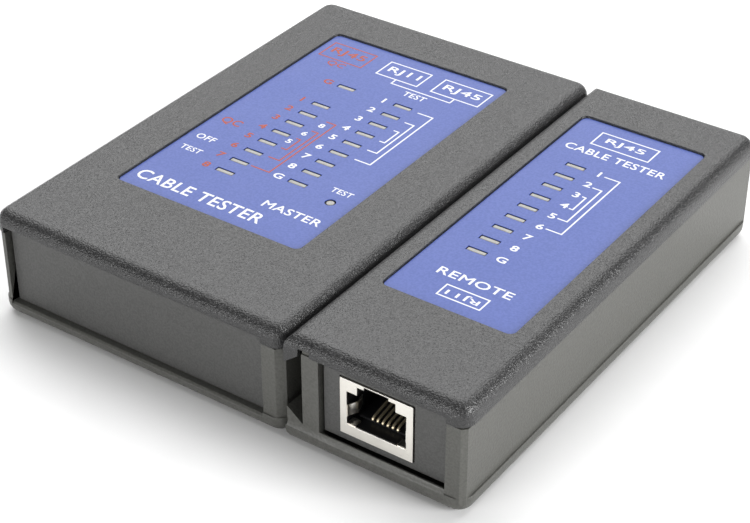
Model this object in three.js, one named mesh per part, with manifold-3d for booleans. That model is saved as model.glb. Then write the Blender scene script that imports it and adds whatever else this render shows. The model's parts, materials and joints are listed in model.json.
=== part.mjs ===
// Network cable tester: a master unit and a remote unit that slides on to a dovetail rail on its side.
// Millimetres, +X from the master to the remote, +Y from the near end to the far end, +Z up.
// The origin is the middle of the footprint, on the surface that the tester lies on.

import * as THREE from 'three';
import { mergeVertices } from 'three/addons/utils/BufferGeometryUtils.js';
import Module from 'manifold-3d';

const wasm = await Module();
wasm.setup();

// ---- Driving dimensions ----

const length = 105;
const height = 22.5;
const masterWidth = 66.6;
const remoteWidth = 36.6;
const unitGap = 0.3;
const totalWidth = masterWidth + unitGap + remoteWidth;

// Case section: a lip at the bottom, walls set in from it, and a rounded cover on top.
const lipHeight = 3.4;
const lipRounding = 2.2;
const cornerRadius = 2.9;
const coverRounding = 2.6;
const coverBottom = 18.3;
const coverBottomAtPanels = 19.5;
const coverSkirt = 1.8;
const coverInside = 20.5;
const sideInset = 0.4;
const endInset = 0.3;
const wallThickness = 1.9;
const wallTop = 18.1;
const floorThickness = 2;

// End panels stand between the corner pillars, behind a sill on the lip. The thinner tongue at each side
// runs in a groove, which leaves a narrow channel beside the raised face.
const panelFace = 1.6;
const panelThickness = 1.6;
const panelSideGap = 0.45;
const tongueFace = 2.3;
const panelTop = 19.3;
const pillarDepth = 4.4;
const grooveDepth = 0.9;
const grooveSlack = 0.15;

// The dovetail between the units.
const channelMouthLow = 6.85;
const channelMouthHigh = 16.6;
const channelDepth = 3.3;
const channelFlare = 2.6;
const channelEnd = length - 4.5;
const railClearance = 0.3;
const railStart = 9;
const channelWall = 1.7;
const postFace = 0.6;
const shoulderTop = 8;

// Label in a recess in the cover.
const labelDrop = 0.45;
const labelThickness = 0.23;
const labelSeat = height - labelDrop - labelThickness - 0.02;
const labelCorner = 1.3;
const labelSlack = 0.12;

// Circuit boards hang under the covers, with the lamps on top and the sockets underneath.
const boardBottom = 17.7;
const boardTop = 19.1;

// A modular socket, measured from its front face.
const socketWidth = 14;
const socketDepth = 13.6;
const socketBottom = 6.15;
const socketTop = 17.1;
const socketFace = 1.3;
const shieldSheet = 0.3;
const shieldFit = 0.05;
const plugWidth = 12;
const plugLow = 8;
const plugHigh = 14.9;
const plugDepth = 12;
const latchSteps = [[7.7, 16.6], [4.9, 17.2]];
const contactTipHeight = 10.35;
const contactPitch = 1.02;
const contactWidth = 0.42;

// Signal lamps.
const lampLength = 4;
const lampWidth = 1.1;
const lampPitch = 4.37;
const lampTop = height - labelDrop - 0.1;
const roundLampRadius = 0.95;
const windowSlack = 0.1;
const coverHoleSlack = 0.3;

// Case screws, driven from below.
const screwHeadRadius = 2.4;
const screwShankRadius = 1.2;
const screwHeadBottom = 0.8;
const screwHeadTop = 2.6;
const screwTip = 16.8;
const postRadius = 3.9;
const postTop = 9;
const bossRadius = 2.8;
const bossBottom = 9.3;

// The 9 V battery, and the door under it.
const batterySize = [48.5, 26.5, 17.5];
const batteryStart = [7.6, 4.55];
const batteryBottom = 2.1;
const doorLow = [5, 4.1];
const doorHigh = [59, 31.1];
const doorGap = 0.3;
const fingerNotchRadius = 4;
const partitionNear = 31.5;
const partitionFar = 32.9;
const partitionTop = 17.6;
const leadNotchLeft = 59.3;
const leadNotchBottom = 8;

// The three-position slide switch in the master's left wall.
const switchCentre = 43.2;
const switchTravel = 4;
const knobLength = 4;
const knobLow = 12.4;
const knobHigh = 15.2;
const knobSlack = 0.5;

// How far a cutting block runs past the face that it opens.
const past = 1;

// ---- Colours ----

const coverGrey = { color: 0x6f6f72, roughness: 0.6, metalness: 0 };
const baseGrey = { color: 0x77776f, roughness: 0.5, metalness: 0 };
const panelGrey = { color: 0x6a6a6c, roughness: 0.55, metalness: 0 };
const labelBlue = { color: 0x7882c3, roughness: 0.45, metalness: 0 };
const boardGreen = { color: 0x2c6b3f, roughness: 0.5, metalness: 0 };
const socketBlack = { color: 0x17171a, roughness: 0.5, metalness: 0 };
const shieldNickel = { color: 0xe6dfcf, roughness: 0.35, metalness: 0.9 };
const contactGold = { color: 0xd9b45a, roughness: 0.3, metalness: 1 };
const lampWhite = { color: 0xdfe1da, roughness: 0.3, metalness: 0 };
const steel = { color: 0x9b9b9d, roughness: 0.35, metalness: 1 };
const blackPlastic = { color: 0x1e1e20, roughness: 0.5, metalness: 0 };
const batteryWrap = { color: 0x3c3f46, roughness: 0.35, metalness: 0.2 };
const redWire = { color: 0xb4261f, roughness: 0.5, metalness: 0 };

// ---- Solids ----

function solidOf(geometry) {
  geometry.deleteAttribute('normal');
  geometry.deleteAttribute('uv');
  const merged = mergeVertices(geometry, 1e-4);
  return new wasm.Manifold(new wasm.Mesh({
    numProp: 3,
    vertProperties: new Float32Array(merged.attributes.position.array),
    triVerts: new Uint32Array(merged.index.array),
  }));
}

function geometryOf(solid) {
  const mesh = solid.getMesh();
  const geometry = new THREE.BufferGeometry();
  geometry.setAttribute('position', new THREE.BufferAttribute(new Float32Array(mesh.vertProperties), 3));
  geometry.setIndex(new THREE.BufferAttribute(new Uint32Array(mesh.triVerts), 1));
  geometry.computeVertexNormals();
  return geometry;
}

// A block between two corners; the corners may be given in either order.
function block(x0, x1, y0, y1, z0, z1) {
  const geometry = new THREE.BoxGeometry(Math.abs(x1 - x0), Math.abs(y1 - y0), Math.abs(z1 - z0));
  geometry.translate((x0 + x1) / 2, (y0 + y1) / 2, (z0 + z1) / 2);
  return solidOf(geometry);
}

function rod(x, y, radius, z0, z1, sides = 16) {
  const geometry = new THREE.CylinderGeometry(radius, radius, z1 - z0, sides);
  geometry.rotateX(Math.PI / 2);
  geometry.translate(x, y, (z0 + z1) / 2);
  return solidOf(geometry);
}

function outline(points) {
  return new THREE.Shape(points.map(([a, b]) => new THREE.Vector2(a, b)));
}

function roundedOutline(x0, x1, y0, y1, radius) {
  const shape = new THREE.Shape();
  shape.absarc(x1 - radius, y1 - radius, radius, 0, Math.PI / 2);
  shape.absarc(x0 + radius, y1 - radius, radius, Math.PI / 2, Math.PI);
  shape.absarc(x0 + radius, y0 + radius, radius, Math.PI, Math.PI * 1.5);
  shape.absarc(x1 - radius, y0 + radius, radius, Math.PI * 1.5, Math.PI * 2);
  return shape;
}

// A unit's plan: rounded corners, except square ones where the remote lies against the master.
function unitPlan(unit) {
  if (!unit.squareLeft) return roundedOutline(0, unit.width, 0, length, cornerRadius);
  const shape = new THREE.Shape();
  const turnX = unit.width - cornerRadius;
  shape.moveTo(0, 0);
  shape.lineTo(turnX, 0);
  shape.absarc(turnX, cornerRadius, cornerRadius, -Math.PI / 2, 0);
  shape.absarc(turnX, length - cornerRadius, cornerRadius, 0, Math.PI / 2);
  shape.lineTo(0, length);
  return shape;
}

function chamferedOutline(x0, x1, y0, y1, cut) {
  return outline([
    [x0 + cut, y0], [x1 - cut, y0], [x1, y0 + cut], [x1, y1 - cut],
    [x1 - cut, y1], [x0 + cut, y1], [x0, y1 - cut], [x0, y0 + cut],
  ]);
}

// A plan outline raised from z0 to z1.
function plate(shape, z0, z1) {
  const settings = { depth: z1 - z0, bevelEnabled: false, curveSegments: 5 };
  const geometry = new THREE.ExtrudeGeometry(shape, settings);
  geometry.translate(0, 0, z0);
  return solidOf(geometry);
}

// A plan outline with both its edges rounded, reaching from z0 to z1.
function cushionPlate(shape, z0, z1, rounding) {
  const geometry = new THREE.ExtrudeGeometry(shape, {
    depth: z1 - z0 - 2 * rounding,
    bevelThickness: rounding,
    bevelSize: rounding,
    bevelOffset: -rounding,
    bevelSegments: 5,
    curveSegments: 5,
  });
  geometry.translate(0, 0, z0 + rounding);
  return solidOf(geometry);
}

// An outline in (x, z), swept along Y.
function prismAlongY(points, y0, y1) {
  const geometry = new THREE.ExtrudeGeometry(outline(points), { depth: y1 - y0, bevelEnabled: false });
  geometry.rotateX(Math.PI / 2);
  geometry.translate(0, y1, 0);
  return solidOf(geometry);
}

// An outline in (y, z), swept along X.
function prismAlongX(points, x0, x1) {
  const geometry = new THREE.ExtrudeGeometry(outline(points), { depth: x1 - x0, bevelEnabled: false });
  geometry.rotateY(Math.PI / 2);
  geometry.rotateX(Math.PI / 2);
  geometry.translate(x0, 0, 0);
  return solidOf(geometry);
}

function joined(solids) {
  return solids.reduce((whole, solid) => whole.add(solid));
}

function cut(solid, tools) {
  return tools.reduce((rest, tool) => rest.subtract(tool), solid);
}

function mesh(name, solid, finish) {
  const part = new THREE.Mesh(geometryOf(solid), new THREE.MeshStandardMaterial(finish));
  part.name = name;
  return part;
}

// The two ends of a unit are alike: a depth is measured inwards from either end.
const ends = {
  near: (depth) => depth,
  far: (depth) => length - depth,
};

// ---- The two units ----

const socketPitch = 15;

const master = {
  width: masterWidth,
  squareLeft: false,
  panel: [2.6, 61.9],
  panelBottom: 2.95,
  sill: [[0.05, 2.5], [0.45, 2.85]],
  sillDepth: pillarDepth,
  chamfer: 1.4,
  screws: [[5.6, 57.5], [61, 40], [5.6, 84], [61, 84]],
  label: [11.4, 54.1, 21.5, 92.8],
  lampColumns: [
    { x: 26.3, first: 75, count: 1 },
    { x: 26.3, first: 66.2, count: 8 },
    { x: 40.1, first: 75, count: 9 },
  ],
  roundLamp: [49.1, 38.1],
  sockets: [
    { name: 'check', x: 32.8 - socketPitch, end: 'far', contacts: 8 },
    { name: 'phone', x: 32.8, end: 'far', contacts: 6 },
    { name: 'network', x: 32.8 + socketPitch, end: 'far', contacts: 8 },
  ],
};

const remote = {
  width: remoteWidth,
  squareLeft: true,
  panel: [6.8, 32.5],
  panelBottom: 4.3,
  sill: [[0.05, 3], [0.6, 4.05]],
  sillDepth: 0.95,
  chamfer: 0.9,
  screws: [[8.4, 22], [30.2, 22], [8.4, 83], [30.2, 83]],
  label: [4.9, 31.7, 21.5, 92.5],
  lampColumns: [{ x: 12.9, first: 75, count: 9 }],
  roundLamp: null,
  sockets: [
    { name: 'remote_phone', x: 18.1, end: 'near', contacts: 6 },
    { name: 'remote_network', x: 18.1, end: 'far', contacts: 8 },
  ],
};

// The dovetail's section, in (x, z) from the remote's left side. A positive shrink gives the rail that
// runs in it.
function dovetail(mouthX, shrink) {
  const tip = channelDepth - shrink;
  const low = channelMouthLow + shrink;
  const high = channelMouthHigh - shrink;
  return [
    [mouthX, low], [0, low], [tip, low - channelFlare],
    [tip, high + channelFlare], [0, high], [mouthX, high],
  ];
}

function shiftedX(points, dx) {
  return points.map(([x, z]) => [x + dx, z]);
}

// ---- Bases ----

// Corner pillars with a groove on each inner side for the end panel.
function pillarBlocks(unit, end) {
  const [left, right] = unit.panel;
  const outer = end(endInset);
  const inner = end(pillarDepth);
  return [
    block(sideInset, left, outer, inner, floorThickness - 1, wallTop),
    block(right, unit.width - sideInset, outer, inner, floorThickness - 1, wallTop),
  ];
}

// The wall's outline, set in from the lip by a little more when depth is given.
function wallOutline(unit, depth) {
  const side = sideInset + depth;
  const end = endInset + depth;
  return chamferedOutline(side, unit.width - side, end, length - end, unit.chamfer);
}

// The lip between the pillars is cut down, and a sill with a bevelled front edge takes its place.
function sillRoom(unit, end) {
  const [left, right] = unit.panel;
  return block(left, right, end(-past), end(pillarDepth + past), lipRounding, wallTop + past);
}

// The sill's section, in (y, z): the bevelled front edge, a top that runs back to depth, and a foot
// inside the lip.
function sillProfile(unit, end, depth) {
  const [[front, frontTop], [back, top]] = unit.sill;
  return [
    [end(front), frontTop], [end(back), top], [end(depth), top],
    [end(depth), 1.5], [end(0.6), 1.5], [end(front), 2.1],
  ];
}

function sill(unit, end) {
  return prismAlongX(sillProfile(unit, end, unit.sillDepth), unit.panel[0] - 0.05, unit.panel[1] + 0.05);
}

// What the end panel takes up: the opening between the pillars and the grooves beside it.
function panelSpace(unit, end) {
  const [left, right] = unit.panel;
  const low = unit.panelBottom - 0.05;
  return [
    block(left, right, end(-past), end(pillarDepth + past), unit.sill[1][1], height),
    block(left - grooveDepth - grooveSlack, right + grooveDepth + grooveSlack,
      end(tongueFace - grooveSlack), end(panelFace + panelThickness + grooveSlack), low, height),
  ];
}

function screwPosts(unit) {
  return unit.screws.map(([x, y]) => rod(x, y, postRadius, floorThickness / 2, postTop));
}

function screwHoles(unit) {
  return unit.screws.flatMap(([x, y]) => [
    rod(x, y, screwHeadRadius + 0.4, -past, screwHeadTop + 0.2),
    rod(x, y, screwShankRadius + 0.3, 0, postTop + past),
  ]);
}

// The tray that both units share: lip, floor, walls, pillars, sills and screw posts.
function tray(unit) {
  const underside = cushionPlate(unitPlan(unit), 0, lipHeight + 2 * lipRounding, lipRounding);
  const aboveLip = block(-past, unit.width + past, -past, length + past, lipHeight, height);
  const lowerLip = cut(underside, [aboveLip]);
  const walls = plate(wallOutline(unit, 0), floorThickness, wallTop);
  const room = plate(wallOutline(unit, wallThickness), floorThickness, height);
  const pillars = joined([...pillarBlocks(unit, ends.near), ...pillarBlocks(unit, ends.far)])
    .intersect(walls);
  const hollow = cut(lowerLip.add(walls), [room, sillRoom(unit, ends.near), sillRoom(unit, ends.far)]);
  const inside = joined([pillars, sill(unit, ends.near), sill(unit, ends.far), ...screwPosts(unit)]);
  return cut(hollow.add(inside), [
    ...panelSpace(unit, ends.near),
    ...panelSpace(unit, ends.far),
    ...screwHoles(unit),
  ]);
}

function masterBase() {
  const rail = prismAlongY(
    shiftedX(dovetail(-2.5, railClearance), masterWidth + unitGap), railStart, channelEnd - railClearance,
  );
  const inside = masterWidth - sideInset - wallThickness;
  const partition = cut(
    block(wallThickness, masterWidth - wallThickness, partitionNear, partitionFar, 1, partitionTop),
    [block(leadNotchLeft, inside, partitionNear - past, partitionFar + past, leadNotchBottom, height)],
  );
  const doorway = block(doorLow[0], doorHigh[0], doorLow[1], doorHigh[1], -past, floorThickness + 0.5);
  const fingerNotch = rod(doorHigh[0], (doorLow[1] + doorHigh[1]) / 2, fingerNotchRadius, -past, 1);
  const slotReach = switchTravel + knobLength / 2 + knobSlack;
  const knobSlot = block(
    -past, wallThickness + past, switchCentre - slotReach, switchCentre + slotReach,
    knobLow - 0.3, knobHigh + 0.3,
  );
  return cut(joined([tray(master), rail, partition]), [doorway, fingerNotch, knobSlot]);
}

function remoteBase() {
  const [left] = remote.panel;
  const [[, frontTop]] = remote.sill;
  const underside = cushionPlate(unitPlan(remote), 0, height, lipRounding);
  const shoulder = cut(underside.intersect(block(-past, 5, -past, length + past, 1.5, shoulderTop)), [
    block(-past, left, -past, postFace, frontTop, height),
  ]);
  const innerWall = block(
    channelDepth, channelDepth + channelWall, postFace + 0.3, channelEnd + past, 1, coverInside - 0.2,
  );
  const nearPost = block(channelDepth, left, postFace, pillarDepth, 1, wallTop + 1.2);
  const cornerFacet = prismAlongX(sillProfile(remote, ends.near, 3), 0.15, left + 0.2);
  const channel = prismAlongY(dovetail(-past, 0), -past, channelEnd);
  const coverSkirtRoom = block(-past, channelDepth, -past, length + past, channelMouthHigh - 0.3, height);
  const cleared = cut(tray(remote), [block(-past, left, -past, pillarDepth, frontTop, height)]);
  const body = joined([cleared, shoulder, innerWall, nearPost, cornerFacet]);
  return cut(body, [channel, coverSkirtRoom, ...panelSpace(remote, ends.near)]);
}

// ---- Covers ----

function lampPlaces(unit) {
  return unit.lampColumns.flatMap(({ x, first, count }) => (
    Array.from({ length: count }, (_, index) => [x, first - index * lampPitch])
  ));
}

function lampHoles(unit, slack, z0, z1) {
  const halfLength = lampLength / 2 + slack;
  const halfWidth = lampWidth / 2 + slack;
  return lampPlaces(unit).map(([x, y]) => (
    block(x - halfLength, x + halfLength, y - halfWidth, y + halfWidth, z0, z1)
  ));
}

function cap(unit) {
  const shell = cut(
    cushionPlate(unitPlan(unit), 5, height, coverRounding),
    [block(-past, unit.width + past, -past, length + past, 0, coverBottom)],
  );
  const room = plate(
    roundedOutline(coverSkirt, unit.width - coverSkirt, coverSkirt, length - coverSkirt, 2), 10, coverInside,
  );
  const [labelLeft, labelRight, labelNear, labelFar] = unit.label;
  const recess = plate(
    roundedOutline(labelLeft, labelRight, labelNear, labelFar, labelCorner), labelSeat, height + past,
  );
  const [left, right] = unit.panel;
  const panelGaps = [ends.near, ends.far].map((end) => (
    block(left, right, end(-past), end(coverSkirt + past), coverBottom - past, coverBottomAtPanels)
  ));
  const bosses = unit.screws.map(([x, y]) => rod(x, y, bossRadius, bossBottom, coverInside + 0.5));
  const threads = unit.screws.map(([x, y]) => (
    rod(x, y, screwShankRadius + 0.1, bossBottom - past, screwTip + past, 12)
  ));
  const hollow = cut(shell, [room, recess, ...panelGaps]);
  return cut(joined([hollow, ...bosses]), [
    ...threads,
    ...lampHoles(unit, coverHoleSlack, coverInside - past, height),
  ]);
}

function masterCover() {
  const [x, y] = master.roundLamp;
  return cut(cap(master), [rod(x, y, roundLampRadius + 0.85, coverInside - past, height)]);
}

function remoteCover() {
  const skirt = cushionPlate(unitPlan(remote), 5, height, coverRounding)
    .intersect(block(-past, channelDepth - 0.1, -past, length + past, channelMouthHigh, coverInside + 0.2));
  const wallRoom = block(
    channelDepth - 0.3, channelDepth + channelWall + 0.3, -past, length + past,
    coverBottom - past, coverInside,
  );
  const postRoom = block(
    channelDepth - 0.3, remote.panel[0] + past, -past, coverSkirt + past,
    coverBottom - past, coverBottomAtPanels,
  );
  return cut(joined([cap(remote), skirt]), [
    prismAlongY(dovetail(-past, 0), -past, length + past), wallRoom, postRoom,
  ]);
}

// ---- Panels ----

// Openings for neighbouring sockets run together.
function endPanel(unit, side) {
  const end = ends[side];
  const [left, right] = unit.panel;
  const face = end(panelFace);
  const back = end(panelFace + panelThickness);
  const bottom = unit.panelBottom;
  const sheet = joined([
    block(left - grooveDepth, right + grooveDepth, end(tongueFace), back, bottom, wallTop),
    block(left + panelSideGap, right - panelSideGap, face, back, bottom, panelTop),
  ]);
  const socketHoles = unit.sockets.filter((socket) => socket.end === side).map(({ x }) => {
    const half = socketPitch / 2 + 0.05;
    const low = socketBottom - shieldSheet - 0.15;
    const high = socketTop + shieldSheet + 0.15;
    return block(x - half, x + half, end(0), end(6), low, high);
  });
  return cut(sheet, socketHoles);
}

function label(unit) {
  const [left, right, near, far] = unit.label;
  const sheet = plate(
    roundedOutline(left + labelSlack, right - labelSlack, near + labelSlack, far - labelSlack, labelCorner),
    labelSeat + 0.02, labelSeat + 0.02 + labelThickness,
  );
  return cut(sheet, lampHoles(unit, windowSlack, labelSeat - past, height));
}

function masterLabel() {
  const [x, y] = master.roundLamp;
  return cut(label(master), [rod(x, y, roundLampRadius + 0.15, labelSeat - past, height)]);
}

// ---- Boards ----

function masterBoard() {
  return plate(outline([
    [9, 34], [57, 34], [57, 100], [9, 100], [9, 54], [3.4, 54], [3.4, 34.6], [9, 34.6],
  ]), boardBottom, boardTop);
}

function remoteBoard() {
  return plate(outline([[11.5, 4.8], [27, 4.8], [27, 100.2], [11.5, 100.2]]), boardBottom, boardTop);
}

// ---- Lamps ----

// One column of lamp heads on their common moulded spacer.
function lampStrip({ x, first, count }) {
  const last = first - (count - 1) * lampPitch;
  const spacer = block(x - 2.4, x + 2.4, last - 1.2, first + 1.2, boardTop + 0.05, coverInside - 0.1);
  const heads = Array.from({ length: count }, (_, index) => {
    const y = first - index * lampPitch;
    return block(
      x - lampLength / 2, x + lampLength / 2, y - lampWidth / 2, y + lampWidth / 2, boardTop + 0.2, lampTop,
    );
  });
  return joined([spacer, ...heads]);
}

function roundLamp() {
  const [x, y] = master.roundLamp;
  return joined([
    rod(x, y, 2 * roundLampRadius, boardTop + 0.05, coverInside - 0.1),
    rod(x, y, roundLampRadius + 0.55, boardTop + 0.2, labelSeat - 0.1),
    rod(x, y, roundLampRadius, boardTop + 0.2, lampTop),
  ]);
}

// ---- Sockets ----

// The moulded housing: a plug opening with the stepped latch notch above it.
function socketHousing({ x, end }) {
  const at = (depth) => ends[end](socketFace + shieldSheet + shieldFit + depth);
  const half = socketWidth / 2;
  const body = block(x - half, x + half, at(0), at(socketDepth), socketBottom, socketTop);
  const mouth = block(x - plugWidth / 2, x + plugWidth / 2, at(-1), at(plugDepth), plugLow, plugHigh);
  const notches = latchSteps.map(([width, top], index) => (
    block(x - width / 2, x + width / 2, at(-1), at(8 - index), plugHigh - 1, Math.min(top, socketTop - 0.4))
  ));
  return cut(body, [mouth, ...notches]);
}

// A folded sheet shield over the front, the sides, the underside and the back.
function socketShield({ x, end }) {
  const at = (depth) => ends[end](socketFace + depth);
  const half = socketWidth / 2 + shieldFit;
  const back = socketDepth + shieldSheet + 2 * shieldFit;
  const outside = block(
    x - half - shieldSheet, x + half + shieldSheet, at(0), at(back + shieldSheet),
    socketBottom - shieldFit - shieldSheet, socketTop + shieldSheet,
  );
  const inside = block(
    x - half, x + half, at(shieldSheet), at(back), socketBottom - shieldFit, socketTop + shieldFit,
  );
  const aboveOpen = block(x - half, x + half, at(3), at(back), socketTop - 1, socketTop + 2);
  const mouth = block(x - plugWidth / 2, x + plugWidth / 2, at(-1), at(1), plugLow, plugHigh);
  const notches = latchSteps.map(([width, top]) => (
    block(x - width / 2, x + width / 2, at(-1), at(1), plugHigh - 1, top)
  ));
  return cut(outside, [inside, aboveOpen, mouth, ...notches]);
}

// Spring contacts rising from a comb on the floor of the opening.
function socketContacts({ x, end, contacts }) {
  const at = (depth) => ends[end](socketFace + depth);
  const comb = block(x - 5.4, x + 5.4, at(2.6), at(11.8), plugLow + 0.05, plugLow + 0.55);
  const springs = Array.from({ length: contacts }, (_, index) => {
    const centre = x + (index - (contacts - 1) / 2) * contactPitch;
    const profile = [
      [at(2.3), plugLow + 0.3], [at(2.3), plugLow + 0.8], [at(9.4), contactTipHeight],
      [at(9.5), contactTipHeight - 0.3], [at(3.1), plugLow + 0.5], [at(3.1), plugLow + 0.3],
    ];
    return prismAlongX(profile, centre - contactWidth / 2, centre + contactWidth / 2);
  });
  return joined([comb, ...springs]);
}

// ---- Fasteners ----

function caseScrew([x, y]) {
  const profile = [
    [0, screwHeadBottom], [screwHeadRadius - 0.5, screwHeadBottom], [screwHeadRadius, screwHeadBottom + 0.6],
    [screwHeadRadius, screwHeadTop], [screwShankRadius, screwHeadTop], [screwShankRadius, screwTip - 1.5],
    [0, screwTip],
  ].map(([radius, z]) => new THREE.Vector2(radius, z));
  const geometry = new THREE.LatheGeometry(profile, 12);
  geometry.rotateX(Math.PI / 2);
  geometry.translate(x, y, 0);
  return solidOf(geometry);
}

// ---- Slide switch ----

// The switch's open metal frame, hanging under the board behind the wall.
function switchFrame() {
  const y = switchCentre;
  const box = block(3.1, 8.9, y - 9.5, y + 9.5, 10.5, boardBottom - 0.1);
  const room = block(3.5, 8.5, y - 8.6, y + 8.6, 11, boardBottom - 0.6);
  const slotReach = switchTravel + knobLength / 2 + knobSlack;
  const slot = block(2, 4, y - slotReach, y + slotReach, knobLow - 0.3, knobHigh + 0.3);
  return cut(box, [room, slot]);
}

// The sliding actuator: a block inside the frame, and a ribbed knob that stands out of the wall.
function switchSlider() {
  const y = switchCentre;
  const carrier = block(4, 7.6, y - 3.4, y + 3.4, 11.4, 16.6);
  const knob = block(0.05, 4.5, y - knobLength / 2, y + knobLength / 2, knobLow, knobHigh);
  const grooves = [-1.2, 0, 1.2].map((offset) => (
    block(-0.5, 0.4, y + offset - 0.25, y + offset + 0.25, knobLow - 1, knobHigh + 1)
  ));
  return cut(joined([carrier, knob]), grooves);
}

// ---- Battery and door ----

function studAlongX(x0, x1, y, z, radius, sides) {
  const geometry = new THREE.CylinderGeometry(radius, radius, x1 - x0, sides);
  geometry.rotateZ(Math.PI / 2);
  geometry.translate((x0 + x1) / 2, y, z);
  return solidOf(geometry);
}

function battery() {
  const [x, y] = batteryStart;
  const [long, wide, thick] = batterySize;
  const middle = [y + wide / 2, batteryBottom + thick / 2];
  const profile = roundedOutline(y, y + wide, batteryBottom, batteryBottom + thick, 2).getPoints(4);
  const body = prismAlongX(profile.slice(0, -1).map((point) => [point.x, point.y]), x, x + long);
  return joined([
    body,
    studAlongX(x + long - 0.5, x + long + 2.2, middle[0] - 6.35, middle[1], 2.8, 12),
    studAlongX(x + long - 0.5, x + long + 2.2, middle[0] + 6.35, middle[1], 3.6, 6),
  ]);
}

const snapFace = batteryStart[0] + batterySize[0] + 2.4;

function batterySnap() {
  const middleY = batteryStart[1] + batterySize[1] / 2;
  const middleZ = batteryBottom + batterySize[2] / 2;
  const profile = roundedOutline(middleY - 12.6, middleY + 12.6, middleZ - 6.2, middleZ + 6.2, 5).getPoints(4);
  return prismAlongX(profile.slice(0, -1).map((point) => [point.x, point.y]), snapFace, snapFace + 2.6);
}

// A lead from the snap, over the partition's notch, to the underside of the board.
function batteryLead(offset) {
  const start = snapFace + 3.5;
  const route = new THREE.CatmullRomCurve3([
    new THREE.Vector3(start, 24, 11 + offset),
    new THREE.Vector3(start + 0.8, 26.5, 11.6 + offset),
    new THREE.Vector3(start + 1.0, 30, 12.6 + offset),
    new THREE.Vector3(start + 0.6, 33.4, 13.8 + offset),
    new THREE.Vector3(56.4, 35.2 + offset / 2, 15 + offset / 2),
    new THREE.Vector3(54.6 + offset, 36.4, 16.4),
    new THREE.Vector3(54.5 + offset, 36.7, boardBottom - 0.5),
  ]);
  const section = new THREE.Shape();
  section.absarc(0, 0, 0.65, 0, Math.PI * 2);
  return solidOf(new THREE.ExtrudeGeometry(section, { extrudePath: route, steps: 20, curveSegments: 8 }));
}

function batteryDoor() {
  const low = doorLow.map((value) => value + doorGap);
  const high = doorHigh.map((value) => value - doorGap);
  const sheet = block(low[0], high[0], low[1], high[1], 0, floorThickness - 0.2);
  const tongues = [11, 24].map((y) => (
    joined([
      block(3.6, 5.9, y - 2.2, y + 2.2, floorThickness + 0.1, floorThickness + 0.8),
      block(low[0], 5.9, y - 2.2, y + 2.2, 1, floorThickness + 0.5),
    ])
  ));
  const grip = [0, 1, 2].map((index) => (
    block(high[0] - 5 - index * 2.2, high[0] - 4 - index * 2.2, 12, 23, -1, 0.4)
  ));
  return cut(joined([sheet, ...tongues]), grip);
}

// ---- Parts on the master's board ----

function chip(x, y, long) {
  return block(x - long / 2, x + long / 2, y - 3.2, y + 3.2, boardBottom - 4.2, boardBottom - 0.1);
}

function capacitor() {
  return rod(50, 48, 2.6, boardBottom - 7.2, boardBottom - 0.1, 12);
}

// ---- Assembly ----

function socketParts(socket) {
  return [
    mesh(`${socket.name}_socket_housing`, socketHousing(socket), socketBlack),
    mesh(`${socket.name}_socket_shield`, socketShield(socket), shieldNickel),
    mesh(`${socket.name}_socket_contacts`, socketContacts(socket), contactGold),
  ];
}

function screwParts(unitName, unit) {
  return unit.screws.map((place, index) => mesh(`${unitName}_screw_${index + 1}`, caseScrew(place), steel));
}

const masterUnit = new THREE.Group();
masterUnit.position.set(-totalWidth / 2, -length / 2, 0);
masterUnit.add(
  mesh('master_base', masterBase(), baseGrey),
  mesh('master_cover', masterCover(), coverGrey),
  mesh('master_label', masterLabel(), labelBlue),
  mesh('master_near_panel', endPanel(master, 'near'), panelGrey),
  mesh('master_far_panel', endPanel(master, 'far'), panelGrey),
  mesh('master_board', masterBoard(), boardGreen),
  mesh('check_result_lamp', lampStrip(master.lampColumns[0]), lampWhite),
  mesh('check_lamp_strip', lampStrip(master.lampColumns[1]), lampWhite),
  mesh('test_lamp_strip', lampStrip(master.lampColumns[2]), lampWhite),
  mesh('test_round_lamp', roundLamp(), lampWhite),
  mesh('switch_frame', switchFrame(), steel),
  mesh('switch_slider', switchSlider(), blackPlastic),
  mesh('battery', battery(), batteryWrap),
  mesh('battery_snap', batterySnap(), blackPlastic),
  mesh('battery_lead_positive', batteryLead(1.6), redWire),
  mesh('battery_lead_negative', batteryLead(-1.6), blackPlastic),
  mesh('battery_door', batteryDoor(), baseGrey),
  mesh('counter_chip', chip(44, 66, 19.5), blackPlastic),
  mesh('clock_chip', chip(22, 66, 9.6), blackPlastic),
  mesh('timing_capacitor', capacitor(), blackPlastic),
  ...master.sockets.flatMap(socketParts),
  ...screwParts('master', master),
);

const remoteUnit = new THREE.Group();
remoteUnit.position.set(masterWidth + unitGap - totalWidth / 2, -length / 2, 0);
remoteUnit.add(
  mesh('remote_base', remoteBase(), baseGrey),
  mesh('remote_cover', remoteCover(), coverGrey),
  mesh('remote_label', label(remote), labelBlue),
  mesh('remote_near_panel', endPanel(remote, 'near'), panelGrey),
  mesh('remote_far_panel', endPanel(remote, 'far'), panelGrey),
  mesh('remote_board', remoteBoard(), boardGreen),
  mesh('remote_lamp_strip', lampStrip(remote.lampColumns[0]), lampWhite),
  ...remote.sockets.flatMap(socketParts),
  ...screwParts('remote', remote),
);

const group = new THREE.Group();
group.add(masterUnit, remoteUnit);

export default group;
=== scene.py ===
# A network cable tester: a master unit, and a remote unit that slides on to a rail on its side.
# Everything is in metres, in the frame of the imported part. Sizes are written in millimetres times mm.

import json
import math

import bmesh
import bpy
from mathutils import Matrix, Vector

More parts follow.
